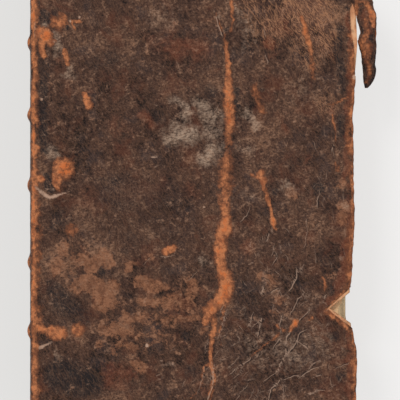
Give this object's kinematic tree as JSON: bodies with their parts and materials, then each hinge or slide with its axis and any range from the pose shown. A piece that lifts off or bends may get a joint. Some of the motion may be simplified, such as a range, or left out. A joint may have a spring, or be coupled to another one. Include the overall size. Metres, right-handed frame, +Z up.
{
  "type": "antique leather-bound book",
  "caption": "Old book in full brown leather over paper boards, with raised bands on a rounded spine, a torn strip at the fore edge, and two covers that open.",
  "frame": {"origin": "on the back cover's outer face, at the middle of the covers' height and of their plain width", "axes": "+X from the spine to the fore edge, +Y from tail to head, +Z up through the closed book"},
  "size_m": [0.1411, 0.182, 0.034],
  "materials": {
    "leather": "worn, dull sheen",
    "pasteboard": "matte",
    "endpaper": "matte",
    "leaves": "matte",
    "hemp_cord": "matte",
    "endband_thread": "matte"
  },
  "bodies": {
    "text_block": {"back_flyleaf": "endpaper", "front_flyleaf": "endpaper", "head_endband": "endband_thread", "sewing_cord_1": "hemp_cord", "sewing_cord_2": "hemp_cord", "sewing_cord_3": "hemp_cord", "sewing_cord_4": "hemp_cord", "sewing_cord_5": "hemp_cord", "spine_leather": "leather", "spine_lining_1": "endpaper", "spine_lining_2": "endpaper", "spine_lining_3": "endpaper", "spine_lining_4": "endpaper", "spine_lining_5": "endpaper", "spine_lining_6": "endpaper", "tail_endband": "endband_thread", "text_block": "leaves"},
    "front_cover": {"front_board": "pasteboard", "front_laced_slip_1": "hemp_cord", "front_laced_slip_2": "hemp_cord", "front_laced_slip_3": "hemp_cord", "front_laced_slip_4": "hemp_cord", "front_laced_slip_5": "hemp_cord", "front_leather": "leather", "front_pastedown": "endpaper"},
    "back_cover": {"back_board": "pasteboard", "back_laced_slip_1": "hemp_cord", "back_laced_slip_2": "hemp_cord", "back_laced_slip_3": "hemp_cord", "back_laced_slip_4": "hemp_cord", "back_laced_slip_5": "hemp_cord", "back_leather": "leather", "back_pastedown": "endpaper"}
  },
  "joints": [
    {"name": "front_cover_hinge", "type": "hinge", "parent": "text_block", "child": "front_cover", "pos_m": [-0.0636, 0, 0.0341], "axis": [0, -1, 0], "range_deg": [0, 180]},
    {"name": "back_cover_hinge", "type": "hinge", "parent": "text_block", "child": "back_cover", "pos_m": [-0.0636, 0, -0.0001], "axis": [0, 1, 0], "range_deg": [0, 180]}
  ]
}
